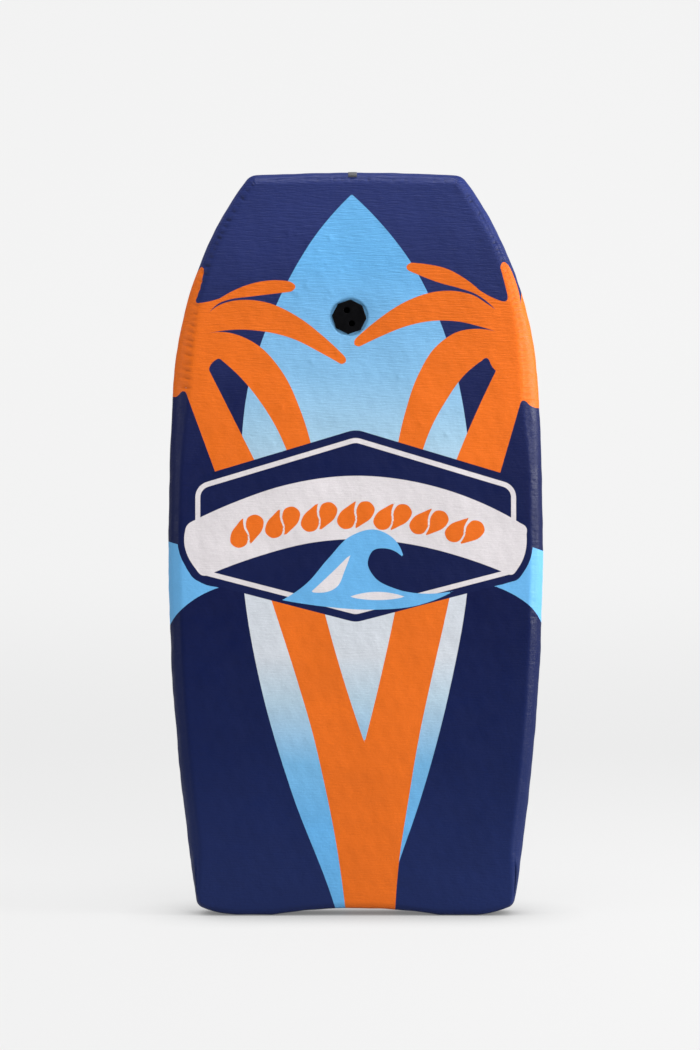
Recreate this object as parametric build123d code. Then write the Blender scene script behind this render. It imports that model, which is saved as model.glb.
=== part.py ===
"""Bodyboard, 37 inch class: a bead-foam core in a printed stretch-fabric cover, with a slick bottom sheet and
a two-piece screw-in leash plug.

Frame, in millimetres: +Z up from the tail to the nose, X across the board, and the deck faces -Y. The board
stands on its two tail lobes. The origin is at the bottom centre of the whole board's box.

The board is worked out in a frame of its own first, where y is 0 half way through the tail and z is 0 at the
tail lobes, and every piece is then moved by the same shift.
"""

from build123d import *
import math
import os

# ---- The board's outline, seen on the deck -------------------------------------------------------------
LENGTH = 926.0  # from the tail lobes to the middle of the nose
WIDTH = 470.0  # at the widest place
WIDEST_Z = 462.0
TAIL_SIDE_RADIUS = 2780.0  # side curve from the widest place down to the tail
FORE_SIDE_RADIUS = 3200.0  # side curve from the widest place up to the shoulder
SHOULDER_Z = 668.0
SHOULDER_RADIUS = 465.0  # side curve from the shoulder to the nose corner
NOSE_RADIUS = 2900.0  # the nose edge bows up a little at its middle
NOSE_CORNER_RADIUS = 18.0
CRESCENT_DEPTH = 8.5  # the hollow in the middle of the tail
CRESCENT_RADIUS = 640.0
CRESCENT_BLEND = 25.0
FOOT_OUTER_X = 146.0  # each lobe stands on a flat from the crescent to here
LOBE_RADIUS = 120.0
TAIL_CORNER_RADIUS = 13.0

# ---- The board's side view -----------------------------------------------------------------------------
THICKNESS = 52.0  # over cover and slick, from the tail to where the nose starts to lift
ROCKER_Z = 640.0  # the nose lifts from here up
DECK_RADIUS = 2280.0  # the deck's curve over the nose
BOTTOM_RADIUS = 1380.0  # the bottom's curve over the nose, which is the tighter one and so thins the nose
DECK_CHAMFER = 13.0  # the bevel between deck and side
BOTTOM_CHAMFER = 7.0

# ---- Cover, slick and tab ------------------------------------------------------------------------------
COVER_THICKNESS = 0.8
HEM_WIDTH = 30.0  # the cover turns under the bottom by this much, from the widest outline
SLICK_THICKNESS = 1.0
SLICK_INSET = 12.0  # from the widest outline to the slick's edge
TAB_X = -4.0
TAB_WIDTH = 11.0
TAB_THICKNESS = 0.5
TAB_SHOWN = 6.0  # how far it comes down over the nose

# ---- Leash plug ----------------------------------------------------------------------------------------
PLUG_X = -8.0  # off the centre line
PLUG_Z = 747.0
FLANGE_ACROSS_FLATS = 40.0
FLANGE_THICKNESS = 3.2
FLANGE_BEVEL = 1.0
FLANGE_PROUD = 0.8  # how far a flange stands out of the surface round it
FLANGE_TURN = -4.0  # degrees from the board's centre line to a corner of the head
SEAT_GAP = 0.2  # under each flange
POCKET_RADIUS = 22.4  # the round dent that each flange sits in
CORD_HOLE_RADIUS = 3.9
CORD_HOLE_OFFSET = 8.8
CORD_HOLE_TURN = 111.0  # degrees from the X axis to the line through the two holes
CORD_HOLE_EASE = 0.5  # rounding of the holes' mouths
STEM_LENGTH = 30.0  # below the head's flange
STEM_FLOOR = 2.5
STEM_BORE_RADIUS = 12.9
STEM_ROOT_RADIUS = 14.3
THREAD_DEPTH = 1.0
THREAD_PITCH = 4.0
THREAD_TURNS = 5
THREAD_GAP = 0.25  # play between the two threads, across and along
THREAD_BITE = 0.15  # how far a ridge's foot reaches into the wall that it stands on
THREAD_LEAD = 1.5  # from the stem's end to the start of its thread
SLEEVE_WALL = 1.9
SLEEVE_GAP = 0.3  # between the sleeve and the hole through the foam
SLEEVE_SHORT = 2.0  # how far the sleeve ends below the head's flange
COIN_SLOT_LENGTH = 24.0  # in the nut's face
COIN_SLOT_WIDTH = 3.0
COIN_SLOT_DEPTH = 1.6

# ---- Working sizes -------------------------------------------------------------------------------------
FAR = 600.0  # reach of a cutting tool that goes past the board
SLAB_LOW = -100.0  # a side view runs on below the tail to here
SLAB_TOP = 1000.0  # and above the nose to here
TAIL_TOP = 30.0  # the tail's own edges all lie below this
CLOSE = 0.05  # an edge this near a surface lies on it
DEPTH_STEPS = 20  # far more than the plug's depth needs to settle

# ---- Worked out from those -----------------------------------------------------------------------------
DECK_Y = -THICKNESS / 2
BOTTOM_Y = THICKNESS / 2 - SLICK_THICKNESS  # of the cover and core, under the slick
THREAD_CREST_RADIUS = STEM_ROOT_RADIUS + THREAD_DEPTH
SLEEVE_BORE_RADIUS = THREAD_CREST_RADIUS + THREAD_GAP
SLEEVE_RADIUS = SLEEVE_BORE_RADIUS + SLEEVE_WALL
STEM_HOLE_RADIUS = SLEEVE_RADIUS + SLEEVE_GAP


def crossings(first, second):
    """The two points where two circles, each an x, a z and a radius, cross."""
    reach = math.hypot(second[0] - first[0], second[1] - first[1])
    along = (reach**2 + first[2] ** 2 - second[2] ** 2) / (2 * reach)
    aside = math.sqrt(first[2] ** 2 - along**2)
    ux = (second[0] - first[0]) / reach
    uz = (second[1] - first[1]) / reach
    return [
        (first[0] + along * ux - aside * uz, first[1] + along * uz + aside * ux),
        (first[0] + along * ux + aside * uz, first[1] + along * uz - aside * ux),
    ]


def arc_between(circle, start, end):
    """The short arc of a circle between two of its points, in the deck's plane."""
    middle_x = (start[0] + end[0]) / 2 - circle[0]
    middle_z = (start[1] + end[1]) / 2 - circle[1]
    out = circle[2] / math.hypot(middle_x, middle_z)
    middle = (circle[0] + out * middle_x, circle[1] + out * middle_z)
    return Edge.make_three_point_arc(*[Vector(x, 0, z) for x, z in (start, middle, end)])


def outline(grow, round_tail=True):
    """The board's widest outline moved out by grow, its corners between tail and side rounded or sharp."""
    tail_side = (WIDTH / 2 - TAIL_SIDE_RADIUS, WIDEST_Z, TAIL_SIDE_RADIUS + grow)
    fore_side = (WIDTH / 2 - FORE_SIDE_RADIUS, WIDEST_Z, FORE_SIDE_RADIUS + grow)
    # The shoulder's arc starts tangent to the side below it.
    start = math.asin((SHOULDER_Z - WIDEST_Z) / FORE_SIDE_RADIUS)
    step = FORE_SIDE_RADIUS - SHOULDER_RADIUS
    shoulder = (
        fore_side[0] + step * math.cos(start),
        WIDEST_Z + step * math.sin(start),
        SHOULDER_RADIUS + grow,
    )
    shoulder_start = (
        shoulder[0] + shoulder[2] * math.cos(start),
        shoulder[1] + shoulder[2] * math.sin(start),
    )
    nose = (0, LENGTH - NOSE_RADIUS, NOSE_RADIUS + grow)
    lobe = (FOOT_OUTER_X, LOBE_RADIUS, LOBE_RADIUS + grow)
    crescent = (0, CRESCENT_DEPTH - CRESCENT_RADIUS, CRESCENT_RADIUS - grow)
    foot_inner_x = math.sqrt(crescent[2] ** 2 - (crescent[1] + grow) ** 2)
    widest = (WIDTH / 2 + grow, WIDEST_Z)
    nose_corner = max(crossings(shoulder, nose))
    tail_corner = min(crossings(tail_side, lobe))
    foot_outer = (FOOT_OUTER_X, -grow)
    foot_inner = (foot_inner_x, -grow)
    half = [
        arc_between(shoulder, nose_corner, shoulder_start),
        arc_between(fore_side, shoulder_start, widest),
        arc_between(tail_side, widest, tail_corner),
        arc_between(lobe, tail_corner, foot_outer),
        Edge.make_line((foot_outer[0], 0, foot_outer[1]), (foot_inner[0], 0, foot_inner[1])),
    ]
    across = [
        arc_between(nose, (-nose_corner[0], nose_corner[1]), nose_corner),
        arc_between(crescent, (-foot_inner[0], foot_inner[1]), foot_inner),
    ]
    face = Face(Wire([*half, *[edge.mirror(Plane.YZ) for edge in half], *across]))
    corners = [(nose_corner, NOSE_CORNER_RADIUS), (foot_inner, CRESCENT_BLEND)]
    if round_tail:
        corners.append((tail_corner, TAIL_CORNER_RADIUS))
    # Far enough inside, a rounded corner has become a sharp one.
    for corner, radius in [(corner, radius + grow) for corner, radius in corners if radius + grow > 0]:
        here = [v for v in face.vertices() if math.hypot(abs(v.X) - corner[0], v.Z - corner[1]) < 0.1]
        face = face.fillet_2d(radius, here)
    return face


def prism(grow, round_tail=True):
    """A body that has the outline, moved out by grow, all through the board's thickness."""
    return extrude(outline(grow, round_tail), FAR, dir=(0, 1, 0), both=True)


def deck_y(z, inside=0.0):
    """Where the deck is at a height, moved into the board by some amount."""
    radius = DECK_RADIUS + inside
    rise = max(z - ROCKER_Z, 0.0)
    return DECK_Y + inside - radius + math.sqrt(radius**2 - rise**2)


def bottom_y(z, inside=0.0):
    """Where the bottom, under the slick, is at a height, moved into the board by some amount."""
    radius = BOTTOM_RADIUS - inside
    rise = max(z - ROCKER_Z, 0.0)
    return BOTTOM_Y - inside - radius + math.sqrt(radius**2 - rise**2)


def slab(front, back):
    """The board's side view between two curves, each a function of the height, from side to side."""
    middle = (SLAB_TOP + ROCKER_Z) / 2
    edges = []
    for curve in (front, back):
        low = Vector(0, curve(0), SLAB_LOW)
        start = Vector(0, curve(0), ROCKER_Z)
        end = Vector(0, curve(SLAB_TOP), SLAB_TOP)
        edges.append(Edge.make_line(low, start))
        edges.append(Edge.make_three_point_arc(start, Vector(0, curve(middle), middle), end))
    for z in (SLAB_LOW, SLAB_TOP):
        edges.append(Edge.make_line(Vector(0, front(z), z), Vector(0, back(z), z)))
    return extrude(Face(Wire(edges)), FAR, dir=(1, 0, 0), both=True)


def rim(solid, surface):
    """The edges where a surface meets the sides and the nose, but not the tail."""
    found = []
    for edge in solid.edges():
        ends = [edge @ 0, edge @ 0.5, edge @ 1]
        on_surface = all(abs(p.Y - surface(p.Z)) < CLOSE for p in ends)
        across = all(abs(p.Z - ROCKER_Z) < CLOSE for p in ends)
        tail = max(p.Z for p in ends) < TAIL_TOP
        if on_surface and not across and not tail:
            found.append(edge)
    return found


def board_solid(grow):
    """The board under its slick, with every surface moved out by grow."""

    def front(z):
        return deck_y(z, -grow)

    def back(z):
        return bottom_y(z, -grow)

    wider = grow * (2 - math.sqrt(2))  # so that the bevels, too, move out by grow
    solid = (prism(grow, round_tail=False) & slab(front, back)).solid()
    solid = chamfer(rim(solid, front), DECK_CHAMFER + wider).solid()
    solid = chamfer(rim(solid, back), BOTTOM_CHAMFER + wider).solid()
    return (solid & prism(grow)).solid()


# ---- The plug's own frame: z out of the deck, from the deck's surface ----------------------------------
PLUG_TILT = math.asin((PLUG_Z - ROCKER_Z) / DECK_RADIUS)
PLUG_PLANE = Plane(
    origin=(PLUG_X, deck_y(PLUG_Z), PLUG_Z),
    x_dir=(1, 0, 0),
    z_dir=(0, -math.cos(PLUG_TILT), -math.sin(PLUG_TILT)),
)


def depth_through_board():
    """From the deck to the slick's outer face along the plug's axis."""
    depth = THICKNESS
    for _ in range(DEPTH_STEPS):
        point = PLUG_PLANE.from_local_coords((0, 0, -depth))
        depth += bottom_y(point.Z, -SLICK_THICKNESS) - point.Y
    return depth


PLUG_DEPTH = depth_through_board()
HEAD_SEAT = FLANGE_PROUD - FLANGE_THICKNESS  # underside of the head's flange
NUT_FACE = -PLUG_DEPTH - FLANGE_PROUD
NUT_SEAT = NUT_FACE + FLANGE_THICKNESS  # top of the nut's flange
STEM_END = HEAD_SEAT - STEM_LENGTH
THREAD_LOW = STEM_END + THREAD_LEAD
SLEEVE_TOP = HEAD_SEAT - SLEEVE_SHORT


def rod(radius, low, high):
    """A round bar along the plug's axis, in the plug's frame."""
    return Pos(0, 0, low) * extrude(Circle(radius), high - low)


def octagon(low, high):
    """A flange's eight-sided plate, in the plug's frame."""
    radius = FLANGE_ACROSS_FLATS / 2 / math.cos(math.pi / 8)
    return Pos(0, 0, low) * extrude(RegularPolygon(radius, 8), high - low)


def thread_ridge(radius, out, low):
    """One ridge of the thread, wound on a bar (out = 1) or in a bore (out = -1) of that radius."""
    root = THREAD_PITCH / 2 - THREAD_GAP
    crest = root - THREAD_DEPTH
    foot = radius - out * THREAD_BITE
    tip = radius + out * THREAD_DEPTH
    section = Face(
        Wire.make_polygon(
            [(foot, 0, -root / 2), (tip, 0, -crest / 2), (tip, 0, crest / 2), (foot, 0, root / 2)]
        )
    )
    helix = Edge.make_helix(THREAD_PITCH, THREAD_PITCH * THREAD_TURNS, foot)
    return Pos(0, 0, low) * Solid.sweep(section, helix, is_frenet=True)


def placed(solid):
    """A plug piece moved from the plug's frame to the board's."""
    return (PLUG_PLANE.location * solid).solid()


# ---- Room for the plug, cut through everything between the two flanges ---------------------------------
HEAD_POCKET_FLOOR = HEAD_SEAT - SEAT_GAP
NUT_POCKET_FLOOR = NUT_SEAT + SEAT_GAP
STEM_HOLE = placed(rod(STEM_HOLE_RADIUS, -2 * PLUG_DEPTH, PLUG_DEPTH))
NUT_POCKET = placed(rod(POCKET_RADIUS, -2 * PLUG_DEPTH, NUT_POCKET_FLOOR))


def head_pocket(grow):
    """The dent under the head's flange, which the cover lines."""
    return placed(rod(POCKET_RADIUS + grow, HEAD_POCKET_FLOOR - grow, PLUG_DEPTH))


def core_solid():
    """The foam, which fills the board inside the cover and is level with the hem under the slick."""
    level = prism(-HEM_WIDTH) & slab(lambda z: bottom_y(z, 5 * COVER_THICKNESS), bottom_y)
    return (board_solid(-COVER_THICKNESS) + level).solid() - head_pocket(COVER_THICKNESS)


def foam_core():
    """Moulded bead foam with a stepped hole for the plug."""
    return (core_solid() - STEM_HOLE - NUT_POCKET).solid()


def deck_cover():
    """The printed fabric over the deck, sides, nose and tail, turned under the bottom as a hem."""
    return (board_solid(0.0) - head_pocket(0.0) - core_solid() - STEM_HOLE).solid()


def slick_bottom():
    """The smooth plastic sheet over the core's bottom and the hem."""
    sheet = prism(-SLICK_INSET) & slab(bottom_y, lambda z: bottom_y(z, -SLICK_THICKNESS))
    return (sheet - NUT_POCKET).solid()


def nose_tab():
    """A short piece of tape folded over the middle of the nose."""
    skin = board_solid(TAB_THICKNESS) - board_solid(0.0)
    reach = Pos(TAB_X, 0, LENGTH - TAB_SHOWN) * Box(
        TAB_WIDTH, 2 * THICKNESS, 2 * THICKNESS, align=(Align.CENTER, Align.CENTER, Align.MIN)
    )
    return (skin & reach).solid()


def flange(low, high, outer):
    """An eight-sided plate whose outer face, at that height, has a bevelled edge."""
    plate = octagon(low, high)
    edge = plate.faces().filter_by(Axis.Z).sort_by(lambda face: abs(face.center().Z - outer))[0].edges()
    return chamfer(edge, FLANGE_BEVEL)


def leash_plug_head():
    """The face of the plug's upper half: a plate with two holes for the cord. The stem goes on below it."""
    plate = Rot(0, 0, FLANGE_TURN) * flange(HEAD_SEAT, FLANGE_PROUD, FLANGE_PROUD)
    for side in (-1, 1):
        turn = math.radians(CORD_HOLE_TURN)
        x = side * CORD_HOLE_OFFSET * math.cos(turn)
        y = side * CORD_HOLE_OFFSET * math.sin(turn)
        plate -= Pos(x, y, 0) * rod(CORD_HOLE_RADIUS, HEAD_SEAT, FLANGE_PROUD)
    mouths = [edge for edge in plate.edges().filter_by(GeomType.CIRCLE) if edge.center().Z > 0]
    return placed(fillet(mouths, CORD_HOLE_EASE))


def leash_plug_stem():
    """The hollow stem under the plate, closed at its end and threaded outside. The two are one moulding."""
    stem = rod(STEM_ROOT_RADIUS, STEM_END, HEAD_SEAT) + thread_ridge(STEM_ROOT_RADIUS, 1, THREAD_LOW)
    stem -= rod(STEM_BORE_RADIUS, STEM_END + STEM_FLOOR, HEAD_SEAT)
    return placed(stem)


def leash_plug_nut():
    """The plug's lower half: a plate with a slot for a coin, on a sleeve threaded inside."""
    plate = flange(NUT_FACE, NUT_SEAT, NUT_FACE)
    slot = Box(COIN_SLOT_LENGTH, COIN_SLOT_WIDTH, 2 * COIN_SLOT_DEPTH)
    plate -= Pos(0, 0, NUT_FACE) * slot
    sleeve = rod(SLEEVE_RADIUS, NUT_SEAT, SLEEVE_TOP) - rod(SLEEVE_BORE_RADIUS, NUT_SEAT, SLEEVE_TOP)
    sleeve += thread_ridge(SLEEVE_BORE_RADIUS, -1, THREAD_LOW + THREAD_PITCH / 2)
    return placed(plate + sleeve)


PIECES = {
    "foam_core": foam_core(),
    "deck_cover": deck_cover(),
    "slick_bottom": slick_bottom(),
    "nose_tab": nose_tab(),
    "leash_plug_head": leash_plug_head(),
    "leash_plug_stem": leash_plug_stem(),
    "leash_plug_nut": leash_plug_nut(),
}

box = Compound(list(PIECES.values())).bounding_box()
shift = Vector(0, -(box.min.Y + box.max.Y) / 2, 0)
os.makedirs("parts", exist_ok=True)
for node, solid in PIECES.items():
    export_step(solid.translate(shift), "parts/" + node + ".step")

plug = PLUG_PLANE.origin + shift
print("box", box.size, "shift", shift)
print("plug at", plug, "axis", PLUG_PLANE.z_dir, "depth", PLUG_DEPTH)
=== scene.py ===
import math

import bpy
import numpy as np
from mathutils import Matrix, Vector
from mathutils.geometry import delaunay_2d_cdt


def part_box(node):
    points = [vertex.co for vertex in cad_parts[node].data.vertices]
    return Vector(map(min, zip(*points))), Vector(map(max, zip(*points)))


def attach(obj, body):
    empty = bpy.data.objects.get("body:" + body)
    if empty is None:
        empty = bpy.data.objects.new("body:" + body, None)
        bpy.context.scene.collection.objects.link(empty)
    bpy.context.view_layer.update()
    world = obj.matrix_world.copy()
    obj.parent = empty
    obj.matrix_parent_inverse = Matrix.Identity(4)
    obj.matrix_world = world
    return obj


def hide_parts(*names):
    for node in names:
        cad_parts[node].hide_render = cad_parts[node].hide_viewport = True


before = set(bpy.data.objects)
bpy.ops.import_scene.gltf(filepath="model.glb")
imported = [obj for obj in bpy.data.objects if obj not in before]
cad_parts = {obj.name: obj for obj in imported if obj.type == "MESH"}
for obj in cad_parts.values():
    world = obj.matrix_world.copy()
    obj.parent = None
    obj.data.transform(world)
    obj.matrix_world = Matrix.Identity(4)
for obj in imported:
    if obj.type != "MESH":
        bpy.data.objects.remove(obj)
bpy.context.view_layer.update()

# Foam core -------------------------------------------------------------------------------------
# One block of white bead foam, cut to the board's outline and bent up towards the nose.
# Its edges are trimmed by hot wire: a wide bevel beside the deck and a narrow one underneath.
# Shapes are worked out in millimetres; y is 0 half way through the thickness at the tail.

MM = 0.001
LENGTH = 926.0
HALF_WIDTH = 235.0
WIDEST_Z = 462.0
MIDDLE_Z = 460.0
HALF_THICKNESS = 26.0
SLICK_THICKNESS = 1.0
RAIL_DEPTH = 2 * HALF_THICKNESS - SLICK_THICKNESS
middle_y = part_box("slick_bottom")[1].y / MM - HALF_THICKNESS
ROCKER_START = 640.0
DECK_RADIUS = 2280.0
BOTTOM_RADIUS = 1380.0

NOSE_RADIUS = 2900.0
FORE_RADIUS = 3200.0  # each side, from its widest place up to the shoulder
AFT_RADIUS = 2780.0  # each side, from its widest place down to the tail
SHOULDER_Z, SHOULDER_RADIUS = 668.0, 465.0
LOBE_X, LOBE_RADIUS = 146.0, 120.0  # the two round lobes of the tail
CRESCENT_RISE, CRESCENT_RADIUS = 8.5, 640.0  # the shallow hollow between them
NOSE_ROUND, TAIL_ROUND, CRESCENT_ROUND = 18.0, 13.0, 25.0

BEVEL_WIDTHS = (7, 21, 11)  # beside the deck, at the tail, the sides and the nose
BEVEL_DEPTHS = (6, 14, 12)
TAIL_BLEND, NOSE_BLEND = (22, 95), (640, 860)  # heights between which the bevel changes
LOW_SIDES, LOW_SIDES_WIDTH = (540, 680), 0.68  # the bevel is narrower below these heights
LOW_BEVEL, HEM_START = 7, 14
CREASE_BLEND, CREASE_ROOM = 26, (3.6, 10.0)  # the crease is rounded less near the corners

CORE_COLOUR = (0.80, 0.80, 0.77, 1)
# painted shade: the grey for the gaps between the beads
BEAD_GAP_PAINTED_SHADE = (0.62, 0.62, 0.60, 1)
CORE_STEP = 6.0
CORE_FACE_STEP = 18.0
CORE_SKIN = 1.2


def deck_y(z):
    """Height of the deck's surface at z: flat from the tail, then lifting along a large circle."""
    return -HALF_THICKNESS - DECK_RADIUS + np.sqrt(DECK_RADIUS**2 - np.maximum(z - ROCKER_START, 0) ** 2)


def bottom_y(z):
    """Height of the bottom's surface at z, without the slick sheet."""
    flat = HALF_THICKNESS - SLICK_THICKNESS
    return flat - BOTTOM_RADIUS + np.sqrt(BOTTOM_RADIUS**2 - np.maximum(z - ROCKER_START, 0) ** 2)


def crossing(first, second, pick):
    """Where two circles (x, z, radius) cross; pick chooses between the two points."""
    (ax, az, ra), (bx, bz, rb) = first, second
    apart = math.hypot(bx - ax, bz - az)
    along = (apart**2 + ra**2 - rb**2) / (2 * apart)
    off = math.sqrt(ra**2 - along**2)
    ux, uz = (bx - ax) / apart, (bz - az) / apart
    found = [(ax + along * ux - side * off * uz, az + along * uz + side * off * ux) for side in (-1, 1)]
    return pick(found)


def bearing(start, end):
    """Angle of the direction from one point to another."""
    return math.atan2(end[1] - start[1], end[0] - start[0])


def board_rim(step):
    """Points around the board's outline: x, z, the outward direction, and 1 in the four corner rounds."""
    nose = (0.0, LENGTH - NOSE_RADIUS, NOSE_RADIUS)
    fore = (HALF_WIDTH - FORE_RADIUS, WIDEST_Z, FORE_RADIUS)
    aft = (HALF_WIDTH - AFT_RADIUS, WIDEST_Z, AFT_RADIUS)
    lobe = (LOBE_X, LOBE_RADIUS, LOBE_RADIUS)
    crescent = (0.0, CRESCENT_RISE - CRESCENT_RADIUS, CRESCENT_RADIUS)
    lean = math.asin((SHOULDER_Z - WIDEST_Z) / FORE_RADIUS)
    reach = FORE_RADIUS - SHOULDER_RADIUS
    shoulder = (fore[0] + reach * math.cos(lean), fore[1] + reach * math.sin(lean), SHOULDER_RADIUS)

    def inner(circle, by):
        return circle[:2] + (circle[2] - by,)

    nose_corner = crossing(inner(nose, NOSE_ROUND), inner(shoulder, NOSE_ROUND), max)
    tail_corner = crossing(inner(aft, TAIL_ROUND), inner(lobe, TAIL_ROUND), min)
    rise = CRESCENT_ROUND - crescent[1]
    foot = (math.sqrt((CRESCENT_RADIUS + CRESCENT_ROUND) ** 2 - rise**2), CRESCENT_ROUND)
    down = -math.pi / 2
    arcs = [
        (nose, math.pi / 2, bearing(nose, nose_corner), 0),
        (nose_corner + (NOSE_ROUND,), bearing(nose, nose_corner), bearing(shoulder, nose_corner), 1),
        (shoulder, bearing(shoulder, nose_corner), lean, 0),
        (fore, lean, 0.0, 0),
        (aft, 0.0, bearing(aft, tail_corner), 0),
        (tail_corner + (TAIL_ROUND,), bearing(aft, tail_corner), bearing(lobe, tail_corner), 1),
        (lobe, bearing(lobe, tail_corner), down, 0),
        (foot + (CRESCENT_ROUND,), down, bearing(foot, crescent), 0),
    ]
    rows = []
    for (cx, cz, radius), start, end, corner in arcs:
        count = max(2, round(radius * abs(end - start) / step))
        for angle in np.linspace(start, end, count, endpoint=False):
            out_x, out_z = math.cos(angle), math.sin(angle)
            rows.append((cx + radius * out_x, cz + radius * out_z, out_x, out_z, corner))
        if (cx, cz, radius) == lobe:
            for x in np.linspace(LOBE_X, foot[0], round((LOBE_X - foot[0]) / step), endpoint=False):
                rows.append((x, 0.0, 0.0, -1.0, 0))
    start = bearing(crescent, foot)
    for angle in np.linspace(start, math.pi / 2, round(CRESCENT_RADIUS * (math.pi / 2 - start) / step)):
        x, z = CRESCENT_RADIUS * math.cos(angle), crescent[1] + CRESCENT_RADIUS * math.sin(angle)
        rows.append((x, z, -math.cos(angle), -math.sin(angle), 0))
    right = np.array(rows)
    left = right[1:-1][::-1] * np.array([-1, 1, -1, 1, 1])
    return np.vstack([right, left])


def eased(z, low, high, before, after):
    """A value that goes smoothly from before to after as z goes from low to high."""
    t = np.clip((z - low) / (high - low), 0, 1)
    return before + (after - before) * t * t * (3 - 2 * t)


def bent(corner, before, after, cut, count):
    """A rounded corner of the rail's profile: count points on a soft curve that cuts the corner."""
    def towards(end):
        way = end - corner
        long = np.linalg.norm(way, axis=1, keepdims=True)
        return corner + way / long * np.minimum(cut, 0.42 * long)
    first, last = towards(before), towards(after)
    return [(1 - t) ** 2 * first + 2 * t * (1 - t) * corner + t * t * last for t in np.linspace(0, 1, count)]


def from_tail_to_nose(z, sizes):
    """A size along the board, from its values at the tail, the sides and the nose."""
    tail, sides, nose = sizes
    return np.minimum(eased(z, *TAIL_BLEND, tail, sides), eased(z, *NOSE_BLEND, sides, nose))


def rail(rim, shrink=0.0, fine=1):
    """The rail all round, as rows of (inset from the outline, depth below the deck) with one column
    per rim point, and the length along the rim at each point."""
    z = rim[:, 1]
    wide = from_tail_to_nose(z, BEVEL_WIDTHS) * eased(z, *LOW_SIDES, LOW_SIDES_WIDTH, 1.0)
    deep = from_tail_to_nose(z, BEVEL_DEPTHS)
    full = np.full(len(z), RAIL_DEPTH)
    along = np.concatenate([[0], np.cumsum(np.hypot(*np.diff(rim[:, :2], axis=0).T))])
    around = along[-1]
    corners = along[rim[:, 4] == 1]
    apart = (along[:, None] - corners[None, :] + around / 2) % around - around / 2
    gap = np.min(np.abs(apart), axis=1, initial=around)
    room = eased(gap, 0, CREASE_BLEND, *CREASE_ROOM)

    def at(inset, depth):
        both = [np.broadcast_to(inset, z.shape), np.broadcast_to(depth, z.shape)]
        return np.stack(both, axis=1).astype(float)

    flat, crease, edge = at(wide + room, 0), at(wide, 0), at(0, deep)
    low, under, hem = at(0, full - LOW_BEVEL), at(LOW_BEVEL, full), at(HEM_START, full)
    rows = [flat, flat * 0.7 + crease * 0.3]
    rows += bent(crease, flat, edge, 0.5 * room[:, None], 3 + 2 * fine)
    for t in np.linspace(0, 1, 3 + fine)[1:-1]:
        swell = 0.9 * math.sin(math.pi * t)
        rows.append(crease * (1 - t) + edge * t - swell * 0.7 * (wide / BEVEL_WIDTHS[1])[:, None])
    rows += bent(edge, crease, low, 5.0, 3 + fine)
    rows += [edge * 0.5 + low * 0.5]
    rows += bent(low, edge, under, 3.0, 3)
    rows += bent(under, low, hem, 2.5, 3)
    rows = np.array(rows)
    rows[:, :, 0] += shrink
    rows[:, :, 1] += shrink * (1 - 2 * rows[:, :, 1] / full)
    return rows, along


def on_board(rim, rows):
    """Places of the rail's rows: x and z from the inset, y from the depth between deck and bottom."""
    inset, depth = rows[..., 0], rows[..., 1]
    x = rim[:, 0] - inset * rim[:, 2]
    z = rim[:, 1] - inset * rim[:, 3]
    share = depth / RAIL_DEPTH
    return np.stack([x, deck_y(z) * (1 - share) + bottom_y(z) * share, z], axis=-1)


def filled(outer, hole, inside):
    """Triangles between two closed rings, over the points inside, numbered outer, hole, inside."""
    points, edges = [], []
    for loop in (outer, hole):
        first = len(points)
        points += [Vector(p) for p in loop]
        edges += [(first + i, first + (i + 1) % len(loop)) for i in range(len(loop))]
    in_hole = set(range(len(outer), len(points)))
    points += [Vector(p) for p in inside]
    _, _, faces, origin, _, _ = delaunay_2d_cdt(points, edges, [], 4, 1e-5)
    numbered = [tuple(origin[i][0] for i in face) for face in faces]
    return [face for face in numbered if not in_hole.issuperset(face)]


def facing(faces, points, towards):
    """The same faces, turned so that their normals go the way of towards."""
    turned = []
    for face in faces:
        a, b, c = (points[i] for i in face[:3])
        turned.append(face if np.dot(np.cross(b - a, c - a), towards) > 0 else face[::-1])
    return turned


def strip(first, second):
    """Quads between two closed rows of point numbers."""
    quads = zip(first, np.roll(first, -1), np.roll(second, -1), second)
    return [tuple(int(i) for i in quad) for quad in quads]


def honeycomb(step, keep):
    """Evenly spaced points over the board's face, in offset rows, where keep allows them."""
    across, up = np.arange(-240, 240, step), np.arange(-2, 930, step * math.sqrt(0.75))
    x, z = np.meshgrid(across, up)
    x = x + (np.arange(len(up)) % 2 * step / 2)[:, None]
    points = np.stack([x.ravel(), z.ravel()], axis=1)
    return points[keep(points)]


def within(outline, at, margin=12.0):
    """How far inside a closed outline each point is, in mm; outside it is negative."""
    low, high = outline.min(0) - margin, outline.max(0) + margin
    near = np.all((at > low) & (at < high), axis=1)
    spot = at[near]
    best, odd = np.full(len(spot), margin**2), np.zeros(len(spot), bool)
    for a, b in zip(outline, np.roll(outline, -1, axis=0)):
        way = b - a
        t = np.clip(((spot - a) @ way) / max(way @ way, 1e-9), 0, 1)
        best = np.minimum(best, ((spot - a - t[:, None] * way) ** 2).sum(1))
        spans = (a[1] > spot[:, 1]) != (b[1] > spot[:, 1])
        lift = way[1] if abs(way[1]) > 1e-9 else 1e-9
        odd ^= spans & (spot[:, 0] < a[0] + way[0] * (spot[:, 1] - a[1]) / lift)
    far = np.full(len(at), -margin)
    far[near] = np.where(odd, 1, -1) * np.sqrt(best)
    return far


def add_mesh(name, points, faces):
    """A smooth-shaded mesh object from points in millimetres on the board."""
    mesh = bpy.data.meshes.new(name)
    placed = (np.asarray(points) + np.array([0, middle_y, 0])) * MM
    mesh.from_pydata(placed.tolist(), [], faces)
    mesh.validate()
    mesh.polygons.foreach_set("use_smooth", [True] * len(mesh.polygons))
    piece = bpy.data.objects.new(name, mesh)
    bpy.context.scene.collection.objects.link(piece)
    return piece


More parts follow.
